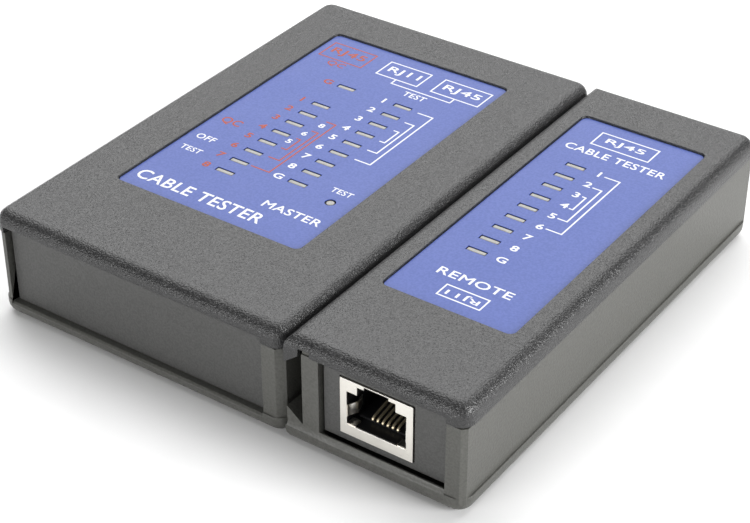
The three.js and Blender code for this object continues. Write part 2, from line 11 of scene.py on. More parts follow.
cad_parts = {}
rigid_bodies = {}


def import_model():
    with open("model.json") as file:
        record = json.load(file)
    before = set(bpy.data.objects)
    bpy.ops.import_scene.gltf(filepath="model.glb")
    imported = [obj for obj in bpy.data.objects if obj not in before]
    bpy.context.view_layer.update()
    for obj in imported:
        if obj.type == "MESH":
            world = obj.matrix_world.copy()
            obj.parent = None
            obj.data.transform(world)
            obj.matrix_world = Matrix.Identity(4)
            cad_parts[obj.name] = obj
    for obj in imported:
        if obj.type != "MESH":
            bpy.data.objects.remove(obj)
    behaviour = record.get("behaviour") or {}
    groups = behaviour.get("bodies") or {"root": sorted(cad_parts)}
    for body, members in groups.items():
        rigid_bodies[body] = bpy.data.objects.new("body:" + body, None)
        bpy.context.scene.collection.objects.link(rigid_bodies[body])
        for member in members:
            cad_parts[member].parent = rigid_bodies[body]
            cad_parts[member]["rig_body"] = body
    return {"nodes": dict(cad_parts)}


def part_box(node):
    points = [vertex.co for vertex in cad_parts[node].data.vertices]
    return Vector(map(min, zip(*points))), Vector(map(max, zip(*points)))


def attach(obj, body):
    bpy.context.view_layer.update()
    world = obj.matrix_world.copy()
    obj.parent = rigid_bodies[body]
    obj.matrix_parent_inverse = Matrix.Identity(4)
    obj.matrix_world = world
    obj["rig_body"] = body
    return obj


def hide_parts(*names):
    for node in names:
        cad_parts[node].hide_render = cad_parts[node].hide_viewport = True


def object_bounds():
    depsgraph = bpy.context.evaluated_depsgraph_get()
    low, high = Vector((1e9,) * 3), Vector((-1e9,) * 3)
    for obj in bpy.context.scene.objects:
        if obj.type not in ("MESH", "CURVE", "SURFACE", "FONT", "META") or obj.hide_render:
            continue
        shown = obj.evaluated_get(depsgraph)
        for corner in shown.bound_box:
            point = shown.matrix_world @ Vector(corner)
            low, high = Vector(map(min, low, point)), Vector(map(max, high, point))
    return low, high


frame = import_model()
cad_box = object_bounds()
mm = 0.001


# ---------------------------------------------------------------- Case halves
# Each unit is a tray and a lid, injection moulded in dark grey ABS. The tools are spark
# eroded, so the plastic has a fine even grain that glitters on the rounded edges.

def add_node(tree, kind, inputs=None, **settings):
    """A node with its settings, whose inputs are each given a value or linked to a socket."""
    node = tree.nodes.new(kind)
    for name, value in settings.items():
        setattr(node, name, value)
    for name, value in (inputs or {}).items():
        if isinstance(value, bpy.types.NodeSocket):
            tree.links.new(value, node.inputs[name])
        else:
            node.inputs[name].default_value = value
    return node


def node_group(name, kind, inputs, outputs):
    """An empty node group with named sockets, and its input and output nodes."""
    tree = bpy.data.node_groups.new(name, kind)
    for socket, socket_type, value in inputs:
        made = tree.interface.new_socket(socket, in_out="INPUT", socket_type=socket_type)
        if value is not None:
            made.default_value = value
    for socket, socket_type in outputs:
        tree.interface.new_socket(socket, in_out="OUTPUT", socket_type=socket_type)
    return tree, tree.nodes.new("NodeGroupInput"), tree.nodes.new("NodeGroupOutput")


def spark_grain_group():
    """The pitted surface that spark erosion leaves: fine noise on a faint swell, as a height."""
    tree, given, result = node_group(
        "spark_grain", "ShaderNodeTree",
        [("Vector", "NodeSocketVector", None), ("Grain Size", "NodeSocketFloat", 0.3 * mm)],
        [("Height", "NodeSocketFloat"), ("Pits", "NodeSocketFloat")],
    )
    fineness = add_node(tree, "ShaderNodeMath", {0: 1.0, 1: given.outputs["Grain Size"]}, operation="DIVIDE")
    grain = add_node(tree, "ShaderNodeTexNoise", {
        "Vector": given.outputs["Vector"], "Scale": fineness.outputs[0], "Detail": 1.0, "Roughness": 0.6,
    })
    coarse_scale = add_node(tree, "ShaderNodeMath", {0: fineness.outputs[0], 1: 0.37}, operation="MULTIPLY")
    coarse = add_node(tree, "ShaderNodeTexNoise", {
        "Vector": given.outputs["Vector"], "Scale": coarse_scale.outputs[0], "Detail": 1.0,
    })
    share = add_node(tree, "ShaderNodeMath", {0: coarse.outputs["Fac"], 1: 0.12}, operation="MULTIPLY")
    height = add_node(tree, "ShaderNodeMath", {0: grain.outputs["Fac"], 1: share.outputs[0]},
                      operation="ADD")
    pits = add_node(tree, "ShaderNodeMapRange", {
        "Value": grain.outputs["Fac"], "From Min": 0.36, "From Max": 0.62, "To Min": 0.0, "To Max": 1.0,
    })
    tree.links.new(height.outputs[0], result.inputs["Height"])
    tree.links.new(pits.outputs[0], result.inputs["Pits"])
    return tree


def handling_group():
    """Faint clouds of finger grease and dust that change how shiny a surface is."""
    tree, given, result = node_group(
        "handling", "ShaderNodeTree",
        [("Vector", "NodeSocketVector", None), ("Roughness", "NodeSocketFloat", 0.5),
         ("Variation", "NodeSocketFloat", 0.08)],
        [("Roughness", "NodeSocketFloat"), ("Clouds", "NodeSocketFloat")],
    )
    clouds = add_node(tree, "ShaderNodeTexNoise", {
        "Vector": given.outputs["Vector"], "Scale": 55.0, "Detail": 4.0, "Roughness": 0.62,
        "Distortion": 0.4,
    })
    around_zero = add_node(tree, "ShaderNodeMath", {0: clouds.outputs["Fac"], 1: 0.5}, operation="SUBTRACT")
    change = add_node(tree, "ShaderNodeMath", {0: around_zero.outputs[0], 1: given.outputs["Variation"]},
                      operation="MULTIPLY")
    total = add_node(tree, "ShaderNodeMath", {0: change.outputs[0], 1: given.outputs["Roughness"]},
                     operation="ADD")
    tree.links.new(total.outputs[0], result.inputs["Roughness"])
    tree.links.new(clouds.outputs["Fac"], result.inputs["Clouds"])
    return tree


spark_grain = spark_grain_group()
handling = handling_group()


def new_material(name, **constants):
    """A material with only its principled shader, whose constant inputs are set on the shader."""
    material = bpy.data.materials.new(name)
    material.use_nodes = True
    shader = material.node_tree.nodes["Principled BSDF"]
    for socket, value in constants.items():
        shader.inputs[socket.replace("_", " ")].default_value = value
    return material, material.node_tree, shader


def object_place(tree):
    """A point's place on the object."""
    return add_node(tree, "ShaderNodeTexCoord").outputs["Object"]


def worn_gloss(tree, place, roughness, variation):
    """A roughness that the clouds of handling change a little."""
    wear = add_node(tree, "ShaderNodeGroup", node_tree=handling)
    tree.links.new(place, wear.inputs["Vector"])
    wear.inputs["Roughness"].default_value = roughness
    wear.inputs["Variation"].default_value = variation
    return wear.outputs["Roughness"]


def mixed(tree, mask, first, second):
    """A colour that follows a mask from the first colour to the second."""
    ends = {"Factor": mask, "A": first, "B": second}
    return add_node(tree, "ShaderNodeMix", ends, data_type="RGBA").outputs["Result"]


def relief(tree, height, depth):
    """The normal of a surface with a fine relief."""
    return add_node(tree, "ShaderNodeBump", {"Height": height, "Distance": depth}).outputs["Normal"]


def finish_surface(tree, shader, colour, gloss, normal=None):
    """Links what changes over the surface to the shader."""
    tree.links.new(colour, shader.inputs["Base Color"])
    tree.links.new(gloss, shader.inputs["Roughness"])
    if normal is not None:
        tree.links.new(normal, shader.inputs["Normal"])


def grained_plastic(name, dark, light, roughness, grain_size, grain_depth):
    """Moulded plastic with a spark grain: the pits are darker than the land between them."""
    material, tree, shader = new_material(name)
    place = object_place(tree)
    grain = add_node(tree, "ShaderNodeGroup", node_tree=spark_grain)
    tree.links.new(place, grain.inputs["Vector"])
    grain.inputs["Grain Size"].default_value = grain_size
    colour = mixed(tree, grain.outputs["Pits"], (*dark, 1), (*light, 1))
    gloss = worn_gloss(tree, place, roughness, variation=0.1)
    finish_surface(tree, shader, colour, gloss, relief(tree, grain.outputs["Height"], grain_depth))
    return material


def linked(name, shape):
    piece = bpy.data.objects.new(name, shape)
    bpy.context.scene.collection.objects.link(piece)
    return piece


def settle(piece):
    """Turns a piece with modifiers into a plain mesh."""
    scene_now = bpy.context.evaluated_depsgraph_get()
    finished = bpy.data.meshes.new_from_object(
        piece.evaluated_get(scene_now), preserve_all_data_layers=True, depsgraph=scene_now)
    piece.modifiers.clear()
    piece.data = finished
    return piece


body_of_node = {node: made["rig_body"] for node, made in frame["nodes"].items()}


def fit(piece, *nodes):
    """A piece takes the body of the CAD nodes that it stands for, and they are hidden."""
    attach(piece, body_of_node[nodes[0]])
    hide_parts(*nodes)
    return piece


def mesh_of(form, name, material=None):
    shape = bpy.data.meshes.new(name)
    form.to_mesh(shape)
    form.free()
    if material is not None:
        shape.materials.append(material)
    return shape


weld_distance = 0.004 * mm
flat_joint = math.radians(0.1)
sharp_edge = math.radians(30)


def moulded(node, edge, material):
    """A CAD node's shape with its sharp edges rounded as a mould rounds them."""
    form = bmesh.new()
    form.from_mesh(frame["nodes"][node].data)
    bmesh.ops.remove_doubles(form, verts=form.verts, dist=weld_distance)
    bmesh.ops.dissolve_limit(form, angle_limit=flat_joint, verts=form.verts, edges=form.edges)
    shape = mesh_of(form, node + "_moulded", material)
    shape.shade_smooth()
    piece = linked(node + "_moulded", shape)
    rounding = piece.modifiers.new("rounding", "BEVEL")
    rounding.width = edge
    rounding.segments = 2
    rounding.limit_method = "ANGLE"
    rounding.angle_limit = sharp_edge
    rounding.use_clamp_overlap = False
    shading = piece.modifiers.new("shading", "WEIGHTED_NORMAL")
    shading.weight = 100
    settle(piece)
    return fit(piece, node)


# Painted light: lids, trays and end panels are one plastic, but the trays get a lighter tone than the lids,
# standing in for the extra light on their walls.
cover_plastic = grained_plastic("cover_plastic", (0.017, 0.017, 0.018), (0.031, 0.031, 0.031),
                                0.29, 0.32 * mm, 0.18 * mm)
base_plastic = grained_plastic("base_plastic", (0.064, 0.064, 0.057), (0.082, 0.082, 0.074),
                               0.42, 0.45 * mm, 0.06 * mm)
for unit in ("master", "remote"):
    moulded(unit + "_cover", 0.12 * mm, cover_plastic)
    moulded(unit + "_base", 0.07 * mm, base_plastic)


# ---------------------------------------------------------------- End panels
# Loose plates of the same plastic, standing in grooves at both ends. The sockets show through them.

# Painted light: a lighter tone than the lids' plastic, standing in for the light that falls on the end panels.
panel_plastic = grained_plastic("panel_plastic", (0.050, 0.050, 0.048), (0.066, 0.066, 0.064),
                                0.48, 0.40 * mm, 0.05 * mm)
for unit in ("master", "remote"):
    for end in ("near", "far"):
        moulded(f"{unit}_{end}_panel", 0.06 * mm, panel_plastic)


# ---------------------------------------------------------------- Battery door
# A snap-in hatch of the base's plastic, with two tongues on its hinge side and three finger grooves.

moulded("battery_door", 0.15 * mm, base_plastic)


# ---------------------------------------------------------------- Labels
# A satin polycarbonate film with windows punched for the lamps, printed blue from behind, and
# stuck in a recess of each cover. Its surface has a slight orange peel.

def label_film(name):
    material, tree, shader = new_material(name, Specular_IOR_Level=0.28)
    place = object_place(tree)
    print_dots = add_node(tree, "ShaderNodeTexNoise", {"Vector": place, "Scale": 2300.0, "Detail": 1.0})
    dye = add_node(tree, "ShaderNodeValToRGB", {"Fac": print_dots.outputs["Fac"]})
    dye.color_ramp.elements[0].position = 0.35
    dye.color_ramp.elements[0].color = (0.060, 0.095, 0.31, 1)
    dye.color_ramp.elements[1].position = 0.65
    dye.color_ramp.elements[1].color = (0.078, 0.115, 0.36, 1)
    gloss = worn_gloss(tree, place, roughness=0.42, variation=0.12)
    peel = add_node(tree, "ShaderNodeTexNoise", {"Vector": place, "Scale": 900.0, "Detail": 2.0})
    finish_surface(tree, shader, dye.outputs["Color"], gloss, relief(tree, peel.outputs["Fac"], 0.012 * mm))
    return material


blue_film = label_film("blue_label_film")
for unit in ("master", "remote"):
    moulded(unit + "_label", 0.05 * mm, blue_film)


# ---------------------------------------------------------------- Printed legends
# White and red ink on the films: plain words for the jobs, the wire numbers beside the lamps, and
# brackets that join the wires of each pair. Places are measured from a film's near left corner.

ink_thickness = 0.015 * mm
line_width = 0.30
digit_stretch = 1.3
bold_stroke = 0.012
bold_digit = 0.022


def spread(tree, mask, low, high):
    """A value that follows a mask from low to high."""
    ends = {"Value": mask, "To Min": low, "To Max": high}
    return add_node(tree, "ShaderNodeMapRange", ends).outputs["Result"]


def dimmed(colour, share):
    return (*(channel * share for channel in colour), 1)


def ink(name, colour):
    """Screen ink, a little darker between its specks."""
    material, tree, shader = new_material(name, Specular_IOR_Level=0.25)
    noise = {"Vector": object_place(tree), "Scale": 4200.0, "Detail": 2.0}
    speckle = add_node(tree, "ShaderNodeTexNoise", noise).outputs["Fac"]
    shade = mixed(tree, speckle, dimmed(colour, 0.82), (*colour, 1))
    finish_surface(tree, shader, shade, spread(tree, speckle, 0.38, 0.52), relief(tree, speckle, 0.006 * mm))
    return material


def added_to(piece, node):
    """A piece with no CAD node of its own rides with one."""
    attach(piece, body_of_node[node])
    return piece


class Artwork:
    """The ink of one colour on one film, gathered into one mesh and placed in millimetres."""

    def __init__(self, name, film, material):
        low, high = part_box(film)
        self.name = name
        self.film = film
        self.origin = Vector((low.x, low.y, high.z))
        self.material = material
        self.form = bmesh.new()

    def word(self, text, left, right, bottom, top, turned=False, boldness=bold_stroke):
        """Letters that fill a rectangle, or keep their own shape if it has no width."""
        curve = bpy.data.curves.new(self.name, "FONT")
        curve.body = text
        curve.extrude = 0.01
        curve.bevel_depth = boldness
        curve.bevel_resolution = 0
        curve.resolution_u = 3
        curve.space_character = 1.06
        lettering = bpy.data.objects.new(self.name, curve)
        bpy.context.scene.collection.objects.link(lettering)
        bpy.context.view_layer.update()
        letters = bpy.data.meshes.new_from_object(lettering)
        bpy.data.objects.remove(lettering)
        bpy.data.curves.remove(curve)
        spread = [[point.co[axis] for point in letters.vertices] for axis in range(3)]
        low = Vector(min(values) for values in spread)
        high = Vector(max(values) for values in spread)
        tall = (top - bottom) * mm / (high.y - low.y)
        wide = (right - left) * mm / (high.x - low.x) if right > left else tall * digit_stretch
        to_middle = Matrix.Translation(-(low + high) / 2)
        stretch = Matrix.Diagonal((wide, tall, ink_thickness / (high.z - low.z), 1))
        turn = Matrix.Rotation(math.pi if turned else 0, 4, "Z")
        centre = Vector(((left + right) / 2 * mm, (bottom + top) / 2 * mm, ink_thickness / 2))
        letters.transform(Matrix.Translation(self.origin + centre) @ turn @ stretch @ to_middle)
        self.form.from_mesh(letters)
        bpy.data.meshes.remove(letters)

    def bar(self, left, right, bottom, top):
        place = self.origin + Vector(((left + right) / 2 * mm, (bottom + top) / 2 * mm, ink_thickness / 2))
        size = Matrix.Diagonal(((right - left) * mm, (top - bottom) * mm, ink_thickness, 1))
        bmesh.ops.create_cube(self.form, size=1, matrix=Matrix.Translation(place) @ size)

    def across(self, left, right, y):
        self.bar(left, right, y - line_width / 2, y + line_width / 2)

    def along(self, x, bottom, top):
        self.bar(x - line_width / 2, x + line_width / 2, bottom, top)

    def border(self, left, right, bottom, top):
        reach = line_width / 2
        self.across(left - reach, right + reach, bottom)
        self.across(left - reach, right + reach, top)
        self.along(left, bottom + reach, top - reach)
        self.along(right, bottom + reach, top - reach)

    def bracket(self, leads, right, bottom, top):
        """Two leads from a column of numbers, joined on their right."""
        reach = line_width / 2
        self.across(leads[0], right + reach, bottom)
        self.across(leads[1], right + reach, top)
        self.along(right, bottom + reach, top - reach)

    def numbers(self, texts, x, first, pitch, tall):
        for row, text in enumerate(texts):
            y = first - row * pitch
            self.word(text, x, x, y - tall / 2, y + tall / 2, boldness=bold_digit)

    def printed(self):
        """Gives the ink to its film, when everything is drawn."""
        added_to(linked(self.name, mesh_of(self.form, self.name, self.material)), self.film)


white_ink = ink("white_ink", (0.78, 0.79, 0.82))
red_ink = ink("red_ink", (0.38, 0.060, 0.022))
row_pitch = 4.37
wires = "12345678"
pair_brackets = ((53.1, 31.5), (48.5, 35.7), (44.7, 39.8))

white = Artwork("master_white_print", "master_label", white_ink)
white.border(16.2, 26.2, 61.9, 67.7)
white.word("RJ11", 17.4, 25.0, 63.4, 66.2)
white.border(29.6, 40.8, 61.9, 67.7)
white.word("RJ45", 30.9, 39.6, 63.4, 66.2)
white.along(21.2, 60.2, 61.8)
white.along(35.4, 60.2, 61.8)
white.across(21.05, 35.55, 60.1)
white.word("TEST", 25.6, 30.8, 57.3, 59.1)
white.numbers(wires + "G", 24.1, 53.4, row_pitch, 1.8)
for (top, bottom), right in zip(pair_brackets, (36.0, 34.6, 33.6)):
    white.bracket((32.4, 32.4), right, bottom, top)
white.numbers("8", 19.8, 38.1, row_pitch, 1.5)
white.numbers("6", 18.8, 33.8, row_pitch, 1.5)
white.numbers("5", 18.0, 29.8, row_pitch, 1.5)
white.word("OFF", 1.9, 6.3, 20.7, 22.5)
white.word("TEST", 1.9, 6.8, 15.9, 17.5)
white.word("TEST", 35.1, 39.8, 19.6, 21.2)
white.word("MASTER", 27.6, 40.6, 8.3, 10.5)
white.word("CABLE TESTER", 1.7, 31.0, 2.9, 6.1)
white.printed()

red = Artwork("master_red_print", "master_label", red_ink)
red.border(1.7, 12.3, 61.9, 68.0)
red.word("RJ45", 2.9, 11.2, 63.5, 66.5)
red.word("QC", 5.2, 9.4, 59.1, 61.2)
red.numbers("G", 10.3, 53.4, row_pitch, 1.8)
red.numbers(wires, 10.3, 44.6, row_pitch, 1.8)
red.word("QC", 2.0, 6.6, 27.9, 30.5)
red.bracket((17.6, 19.6), 21.9, 18.4, 39.9)
red.bracket((18.3, 19.3), 20.9, 22.9, 35.4)
red.bracket((18.3, 18.6), 19.6, 26.9, 31.4)
red.printed()

white = Artwork("remote_white_print", "remote_label", white_ink)
white.border(6.0, 18.4, 62.5, 67.4)
white.word("RJ45", 8.0, 16.4, 63.8, 66.1)
white.word("CABLE TESTER", 2.2, 23.7, 58.5, 60.7)
white.numbers(wires + "G", 13.1, 53.4, row_pitch, 1.8)
for (top, bottom), right in zip(pair_brackets, (17.6, 16.3, 15.1)):
    white.bracket((14.3, 14.3), right, bottom, top)
white.word("REMOTE", 5.5, 20.7, 8.7, 10.9)
white.border(9.3, 18.0, 3.3, 6.7)
white.word("RJ11", 10.3, 17.0, 4.1, 5.9, turned=True)
white.printed()


# ---------------------------------------------------------------- Signal lamps
# Flat rectangular lamps of milky epoxy stand in columns on the boards, and their heads come up to
# the film in its windows. The master has one round lamp more, for the screen contact of its test.

lamp_size = (4.0 * mm, 1.1 * mm)
lamp_shoulder = 0.26 * mm
column_margin = 1.2 * mm
lamp_pitch = 4.37 * mm


def lamp_epoxy(name):
    """Milky epoxy with painted shade at the rim of a head: darker and browner where its surface turns down."""
    material, tree, shader = new_material(name, Subsurface_Weight=0.15, Subsurface_Scale=0.4 * mm, IOR=1.52)
    facing = add_node(tree, "ShaderNodeNewGeometry")
    upward = add_node(tree, "ShaderNodeSeparateXYZ", {"Vector": facing.outputs["Normal"]})
    flatness = add_node(tree, "ShaderNodeMapRange", {
        "Value": upward.outputs["Z"], "From Min": 0.80, "From Max": 0.97,
    })
    noise = {"Vector": object_place(tree), "Scale": 1500.0, "Detail": 3.0}
    milk = add_node(tree, "ShaderNodeTexNoise", noise).outputs["Fac"]
    core = mixed(tree, milk, (0.21, 0.21, 0.19, 1), (0.38, 0.375, 0.345, 1))
    # Painted shade: the rim colour goes where the surface faces less upward, standing in for the shade round
    # each lamp in its window.
    colour = mixed(tree, flatness.outputs["Result"], (0.105, 0.082, 0.074, 1), core)
    finish_surface(tree, shader, colour, spread(tree, milk, 0.28, 0.42))
    return material


def row_of_copies():
    """Repeats the modifier's own shape along a straight row."""
    tree, given, result = node_group(
        "row_of_copies", "GeometryNodeTree",
        [("Geometry", "NodeSocketGeometry", None), ("Step", "NodeSocketVector", None),
         ("Count", "NodeSocketInt", 1), ("Material", "NodeSocketMaterial", None)],
        [("Geometry", "NodeSocketGeometry")],
    )
    row = add_node(tree, "GeometryNodeMeshLine", {
        "Count": given.outputs["Count"], "Offset": given.outputs["Step"],
    }, mode="OFFSET")
    copies = add_node(tree, "GeometryNodeInstanceOnPoints", {
        "Points": row.outputs["Mesh"], "Instance": given.outputs["Geometry"],
    })
    real = add_node(tree, "GeometryNodeRealizeInstances", {"Geometry": copies.outputs["Instances"]})
    finished = add_node(tree, "GeometryNodeSetMaterial", {
        "Geometry": real.outputs["Geometry"], "Material": given.outputs["Material"],
    })
    tree.links.new(finished.outputs["Geometry"], result.inputs["Geometry"])
    return tree


row = row_of_copies()


def repeated(name, shape, tree, **values):
    """A shape repeated by a geometry tree, and turned into a plain mesh."""
    piece = linked(name, shape)
    repeat = piece.modifiers.new("repeat", "NODES")
    repeat.node_group = tree
    for socket in tree.interface.items_tree:
        if socket.in_out == "INPUT" and socket.name in values:
            repeat[socket.identifier] = values[socket.name]
    return settle(piece)


def rounded_loop(half_x, half_y, radius, steps=4):
    """Points of a rounded rectangle, anticlockwise."""
    points = []
    for quarter, (sx, sy) in enumerate(((1, 1), (-1, 1), (-1, -1), (1, -1))):
        for step in range(steps + 1):
            turn = math.pi / 2 * (quarter + step / steps)
            points.append((sx * (half_x - radius) + radius * math.cos(turn),
                           sy * (half_y - radius) + radius * math.sin(turn)))
    return points


def smoothed(shape, sharp_degrees):
    """A mesh shaded smooth except over its sharp edges."""
    shape.shade_smooth()
    shape.set_sharp_from_angle(angle=math.radians(sharp_degrees))
    return shape


def stacked(name, rings):
    """A closed solid through a stack of rings with equally many points, from bottom to top."""
    form = bmesh.new()
    loops = [[form.verts.new(point) for point in ring] for ring in rings]
    form.faces.new(reversed(loops[0]))
    form.faces.new(loops[-1])
    for lower, upper in zip(loops, loops[1:]):
        for index, vertex in enumerate(lower):
            following = (index + 1) % len(lower)
            form.faces.new((vertex, lower[following], upper[following], upper[index]))
    bmesh.ops.recalc_face_normals(form, faces=form.faces)
    return smoothed(mesh_of(form, name), 50)


def lamp_head(name, centre, bottom, top):
    """A rectangular lamp with a shoulder that falls away round its flat window."""
    levels = ((0, bottom), (0, top - 0.14 * mm), (0.35, top - 0.05 * mm), (1, top))
    rings = []
    for share, z in levels:
        inset = share * lamp_shoulder
        loop = rounded_loop(lamp_size[0] / 2 - inset, lamp_size[1] / 2 - inset, 0.32 * mm - inset)
        rings.append([(centre[0] + x, centre[1] + y, z) for x, y in loop])
    return stacked(name, rings)


milky_epoxy = lamp_epoxy("milky_epoxy")
lamp_counts = {"check_result_lamp": 1, "check_lamp_strip": 8, "test_lamp_strip": 9, "remote_lamp_strip": 9}
for node, count in lamp_counts.items():
    low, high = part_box(node)
    first = ((low.x + high.x) / 2, high.y - column_margin)
    head = lamp_head(node + "_heads", first, low.z, high.z)
    step = (0, -lamp_pitch, 0)
    fit(repeated(node + "_heads", head, row, Step=step, Count=count, Material=milky_epoxy), node)


def turned_part(name, centre, profile, sides=32):
    """A closed solid turned about an upright axis, from (radius, z) pairs."""
    rings = [
        [(centre[0] + radius * math.cos(step / sides * math.tau),
          centre[1] + radius * math.sin(step / sides * math.tau), z) for step in range(sides)]
        for radius, z in profile
    ]
    return stacked(name, rings)


low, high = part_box("test_round_lamp")
dome = [(1.9, low.z), (1.9, low.z + 0.7 * mm), (0.95, low.z + 0.8 * mm), (0.95, high.z - 0.25 * mm),
        (0.86, high.z - 0.10 * mm), (0.66, high.z - 0.02 * mm), (0.3, high.z)]
round_lamp = linked("test_round_lamp_dome", turned_part(
    "test_round_lamp_dome", ((low.x + high.x) / 2, (low.y + high.y) / 2), [(r * mm, z) for r, z in dome]))
round_lamp.data.materials.append(milky_epoxy)
fit(round_lamp, "test_round_lamp")


# ---------------------------------------------------------------- Modular sockets
# A black nylon housing with a stepped latch notch, wrapped in a tinned sheet shield. Gold plated
# spring wires rise from a comb in its floor, and the shield's side springs earth the plug.

def plated_sheet(name, colour, roughness, streaks):
    """Rolled and plated metal: long fine streaks, and soft stains in the plating."""
    material, tree, shader = new_material(name, Metallic=1.0)
    place = object_place(tree)
    rolled = add_node(tree, "ShaderNodeMapping", {"Vector": place, "Scale": (300.0, 300.0, 6000.0)})
    streak = {"Vector": rolled.outputs["Vector"], "Scale": 1.0, "Detail": 3.0}
    lines = add_node(tree, "ShaderNodeTexNoise", streak).outputs["Fac"]
    stains = add_node(tree, "ShaderNodeTexNoise", {"Vector": place, "Scale": 420.0, "Detail": 4.0})
    shade = mixed(tree, stains.outputs["Fac"], dimmed(colour, 0.80), (*colour, 1))
    gloss = spread(tree, lines, roughness - streaks, roughness + streaks)
    finish_surface(tree, shader, shade, gloss, relief(tree, lines, 0.004 * mm))
    return material


black_nylon = grained_plastic("black_nylon", (0.006, 0.006, 0.007), (0.010, 0.010, 0.011),
                              0.42, 0.5 * mm, 0.008 * mm)
tinned_sheet = plated_sheet("tinned_sheet", (0.95, 0.92, 0.85), 0.30, 0.06)
gold_wire = plated_sheet("gold_wire", (1.0, 0.87, 0.62), 0.48, 0.05)

wire_width = 0.46 * mm
wire_thickness = 0.34 * mm
wire_pitch = 1.02 * mm
comb_start = 2.8
comb_end = 11.7
comb_width = 10.8 * mm
comb_height = 0.45 * mm
opening_half = 6.0 * mm
sheet_thickness = 0.25 * mm
spring_width = 2.4 * mm
tab_width = 1.7 * mm


def swept_strip(name, path, width, thickness):
    """A flat wire with rounded corners that follows a path in the YZ plane, from x = 0."""
    rings = []
    for index, point in enumerate(path):
        before = path[max(index - 1, 0)]
        after = path[min(index + 1, len(path) - 1)]
        ahead = (after - before).normalized()
        up = Vector((0, -ahead.z, ahead.y))
        loop = rounded_loop(width / 2, thickness / 2, thickness * 0.3, 2)
        rings.append([point + Vector((across, 0, 0)) + up * height for across, height in loop])
    return stacked(name, rings)


def curved_path(corners, steps=5):
    """A path through corner points, each turned into a short curve."""
    path = [corners[0]]
    for before, corner, after in zip(corners, corners[1:], corners[2:]):
        start = corner.lerp(before, min(0.45, 0.6 * mm / (corner - before).length))
        end = corner.lerp(after, min(0.45, 0.6 * mm / (after - corner).length))
        for step in range(steps + 1):
            share = step / steps
            path.append(start.lerp(corner, share).lerp(corner.lerp(end, share), share))
    path.append(corners[-1])
    return path


def depth_ruler(shield):
    """Turns a depth behind a socket's face, in millimetres, and a height into a point at x = 0."""
    low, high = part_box(shield)
    near_end = low.y + high.y < 0
    face = low.y if near_end else high.y
    inwards = mm if near_end else -mm
    return lambda depth, z: Vector((0, face + inwards * depth, z))


def contact_wires(contacts, count, inside):
    """Sprung wires that rise from the comb, turn at the mouth, and slope up to the back."""
    low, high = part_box(contacts)
    route = curved_path([
        inside(3.5, low.z + 0.2 * mm), inside(2.6, low.z + 0.6 * mm), inside(3.3, low.z + 1.1 * mm),
        inside(9.2, high.z - 0.25 * mm),
    ])
    wire = swept_strip(contacts + "_wires", route, wire_width, wire_thickness)
    first = (low.x + high.x) / 2 - (count - 1) / 2 * wire_pitch
    wire.transform(Matrix.Translation((first, 0, 0)))
    step = (wire_pitch, 0, 0)
    return repeated(contacts + "_wires", wire, row, Step=step, Count=count, Material=gold_wire)


def contact_comb(contacts, inside):
    """The nylon plate in the floor of a socket, under the wires."""
    low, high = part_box(contacts)
    near = inside(comb_start, low.z)
    far = inside(comb_end, low.z + comb_height)
    centre = (near + far) / 2 + Vector(((low.x + high.x) / 2, 0, 0))
    size = Matrix.Diagonal((comb_width, abs(far.y - near.y), comb_height, 1))
    comb = bmesh.new()
    bmesh.ops.create_cube(comb, size=1, matrix=Matrix.Translation(centre) @ size)
    bmesh.ops.bevel(comb, geom=comb.edges, offset=0.08 * mm, segments=2, affect="EDGES")
    return linked(contacts + "_comb", mesh_of(comb, contacts + "_comb", black_nylon))


def shield_springs(shield, contacts, inside):
    """A bowed earth spring on each side wall of a shield, and a folded tab in each lower corner."""
    shield_low, shield_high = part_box(shield)
    low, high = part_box(contacts)
    middle = (low.x + high.x) / 2
    bow = curved_path([
        inside(0.15, 0), inside(0.7, 0.1 * mm), inside(2.1, 0.9 * mm), inside(4.2, 0.3 * mm),
    ])
    fold = curved_path([inside(0.1, 0), inside(0.5, 0.12 * mm), inside(1.7, 0.22 * mm)])
    spring_height = (shield_low.z + shield_high.z) / 2 - 0.9 * mm
    tab_reach = opening_half - tab_width / 2 - 0.1 * mm
    springs = bmesh.new()
    for side in (-1, 1):
        spring = swept_strip("spring", bow, spring_width, sheet_thickness)
        upright = Matrix.Rotation(-side * math.radians(90), 4, "Y")
        wall = Vector((middle + side * opening_half, 0, spring_height))
        spring.transform(Matrix.Translation(wall) @ upright)
        springs.from_mesh(spring)
        tab = swept_strip("tab", fold, tab_width, sheet_thickness)
        tab.transform(Matrix.Translation((middle + side * tab_reach, 0, low.z + 0.05 * mm)))
        springs.from_mesh(tab)
    return linked(shield + "_springs", mesh_of(springs, shield + "_springs", tinned_sheet))


socket_contacts = {"check": 8, "phone": 6, "network": 8, "remote_phone": 6, "remote_network": 8}
for socket, count in socket_contacts.items():
    housing, shield, contacts = (f"{socket}_socket_{part}" for part in ("housing", "shield", "contacts"))
    moulded(housing, 0.10 * mm, black_nylon)
    moulded(shield, 0.07 * mm, tinned_sheet)
    inside = depth_ruler(shield)
    fit(contact_wires(contacts, count, inside), contacts)
    added_to(contact_comb(contacts, inside), contacts)
    added_to(shield_springs(shield, contacts, inside), shield)


# ---------------------------------------------------------------- Case screws
# Pan head screws of zinc plated steel with a cross recess, driven from below into posts.

